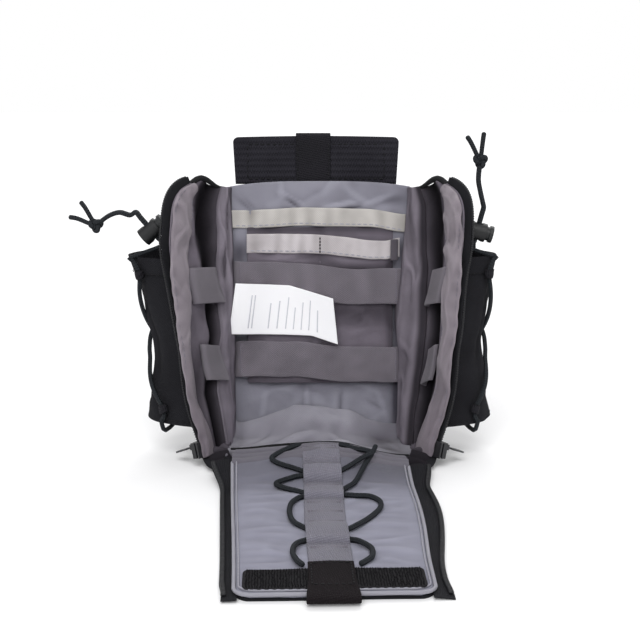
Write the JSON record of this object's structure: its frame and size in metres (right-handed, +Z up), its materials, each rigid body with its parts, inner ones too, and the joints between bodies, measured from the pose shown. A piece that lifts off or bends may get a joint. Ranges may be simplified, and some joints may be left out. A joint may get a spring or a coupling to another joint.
{
  "type": "opened first aid pouch",
  "caption": "Zippered modular first aid pouch standing open: front panel laid forward, padded side walls flared, laced side pockets, loop flap on top.",
  "frame": {"origin": "centre of the base's underside, on the ground", "axes": "+X to the right as seen from the open front, +Y to the rear, +Z up"},
  "size_m": [0.3081, 0.3246, 0.2281],
  "materials": {
    "black_cloth": "woven nylon pack cloth, matt",
    "grey_lining": "smooth coated nylon lining, slightly shiny",
    "base_padding": "padded nylon lining",
    "dark_grey_binding": "rolled grosgrain binding",
    "pocket_cloth": "nylon pocket cloth",
    "tan_hem": "folded nylon hem",
    "dark_elastic": "woven elastic band",
    "label_cloth": "bare satin label cloth",
    "zip_tape": "woven zip tape",
    "zip_teeth": "coiled nylon teeth",
    "slider_metal": "dark lacquered zinc",
    "pull_metal": "bright metal",
    "panel_lining": "smooth coated nylon lining, slightly shiny",
    "piping": "narrow piping tape",
    "grey_webbing": "woven nylon webbing",
    "shock_cord": "braided elastic cord",
    "hook_tape": "hook fastener tape",
    "tab_webbing": "woven nylon webbing",
    "loop_flap": "loop fastener cloth",
    "black_webbing": "woven nylon webbing",
    "lock_plastic": "moulded nylon",
    "button_plastic": "moulded nylon",
    "spring_steel": "spring wire",
    "pocket_shell": "woven nylon pack cloth, matt",
    "snap_plastic": "moulded press stud"
  },
  "bodies": {
    "pouch": {"back_shell": "black_cloth", "back_lining": "grey_lining", "base_shell": "black_cloth", "base_lining": "base_padding", "seam_bindings": "dark_grey_binding", "rear_pocket": "pocket_cloth", "rear_pocket_hem": "tan_hem", "front_pocket": "pocket_cloth", "front_pocket_hem": "tan_hem", "back_elastic_upper": "dark_elastic", "back_elastic_lower": "dark_elastic", "sewn_label": "label_cloth", "wall_gusset_left": "black_cloth", "wall_gusset_right": "black_cloth", "side_pocket_left": "pocket_shell", "side_pocket_right": "pocket_shell", "pocket_lacing_left": "shock_cord", "pocket_lacing_right": "shock_cord", "pocket_loops_left": "black_webbing", "pocket_loops_right": "black_webbing", "rear_webbing_rows": "black_webbing", "rear_mounting_straps": "black_webbing", "rear_strap_snaps": "snap_plastic"},
    "wall_left": {"side_wall_left": "black_cloth", "wall_facing_left": "grey_lining", "wall_elastic_upper_left": "dark_elastic", "wall_elastic_lower_left": "dark_elastic", "wall_zip_tape_left": "zip_tape", "wall_zip_teeth_left": "zip_teeth", "cord_tail_left": "shock_cord", "cord_knot_left": "shock_cord"},
    "slider_left": {"zip_slider_left": "slider_metal"},
    "pull_left": {"zip_pull_left": "pull_metal"},
    "lock_left": {"cord_lock_left": "lock_plastic", "lock_spring_left": "spring_steel"},
    "button_left": {"lock_button_left": "button_plastic"},
    "wall_right": {"side_wall_right": "black_cloth", "wall_facing_right": "grey_lining", "wall_elastic_upper_right": "dark_elastic", "wall_elastic_lower_right": "dark_elastic", "wall_zip_tape_right": "zip_tape", "wall_zip_teeth_right": "zip_teeth", "cord_tail_right": "shock_cord", "cord_knot_right": "shock_cord"},
    "slider_right": {"zip_slider_right": "slider_metal"},
    "pull_right": {"zip_pull_right": "pull_metal"},
    "lock_right": {"cord_lock_right": "lock_plastic", "lock_spring_right": "spring_steel"},
    "button_right": {"lock_button_right": "button_plastic"},
    "panel": {"front_panel_shell": "black_cloth", "front_panel_lining": "panel_lining", "panel_piping": "piping", "panel_zip_tapes": "zip_tape", "panel_zip_teeth": "zip_teeth", "daisy_webbing": "grey_webbing", "panel_shock_cord": "shock_cord", "hook_strip": "hook_tape", "pull_tab": "tab_webbing"},
    "flap": {"top_flap": "loop_flap", "flap_webbing": "black_webbing"}
  },
  "joints": [
    {"name": "front_panel_fold", "type": "hinge", "parent": "pouch", "child": "panel", "pos_m": [0, -0.03604, 0.0046], "axis": [-0.9994, -0.0349, 0], "range_deg": [0, 92]},
    {"name": "top_flap_fold", "type": "hinge", "parent": "pouch", "child": "flap", "pos_m": [0, 0.06208, 0.18791], "axis": [1, 0, 0], "range_deg": [0, 90]},
    {"name": "side_wall_fold_left", "type": "hinge", "parent": "pouch", "child": "wall_left", "pos_m": [-0.07, -0.01, 0], "axis": [0, 0.3451, 0.9386], "range_deg": [0, 41]},
    {"name": "zip_travel_left", "type": "slide", "parent": "wall_left", "child": "slider_left", "axis": [-0.1971, 0.1163, 0.9735], "range_m": [0, 0.112]},
    {"name": "zip_pull_swing_left", "type": "hinge", "parent": "slider_left", "child": "pull_left", "pos_m": [-0.08794, -0.02101, 0.01331], "axis": [0.6257, 0.7793, 0.0336], "range_deg": [0, 90]},
    {"name": "cord_lock_slide_left", "type": "slide", "parent": "wall_left", "child": "lock_left", "axis": [-0.6428, 0, 0.766], "range_m": [0, 0.008]},
    {"name": "lock_button_press_left", "type": "slide", "parent": "lock_left", "child": "button_left", "axis": [-0.766, 0, -0.6428], "range_m": [0, 0.0022], "stiffness_N_per_m": 400, "springref_m": -0.003, "deforming": ["lock_spring_left"]},
    {"name": "side_wall_fold_right", "type": "hinge", "parent": "pouch", "child": "wall_right", "pos_m": [0.07, -0.01, 0], "axis": [0, -0.3451, -0.9386], "range_deg": [0, 38]},
    {"name": "zip_travel_right", "type": "slide", "parent": "wall_right", "child": "slider_right", "axis": [0.185, 0.1069, 0.9769], "range_m": [0, 0.112]},
    {"name": "zip_pull_swing_right", "type": "hinge", "parent": "slider_right", "child": "pull_right", "pos_m": [0.08714, -0.02187, 0.01363], "axis": [0.5872, -0.8091, -0.0227], "range_deg": [0, 90]},
    {"name": "cord_lock_slide_right", "type": "slide", "parent": "wall_right", "child": "lock_right", "axis": [0.2419, 0, 0.9703], "range_m": [0, 0.008]},
    {"name": "lock_button_press_right", "type": "slide", "parent": "lock_right", "child": "button_right", "axis": [-0.9703, 0, 0.2419], "range_m": [0, 0.0022], "stiffness_N_per_m": 400, "springref_m": -0.003, "deforming": ["lock_spring_right"]}
  ]
}
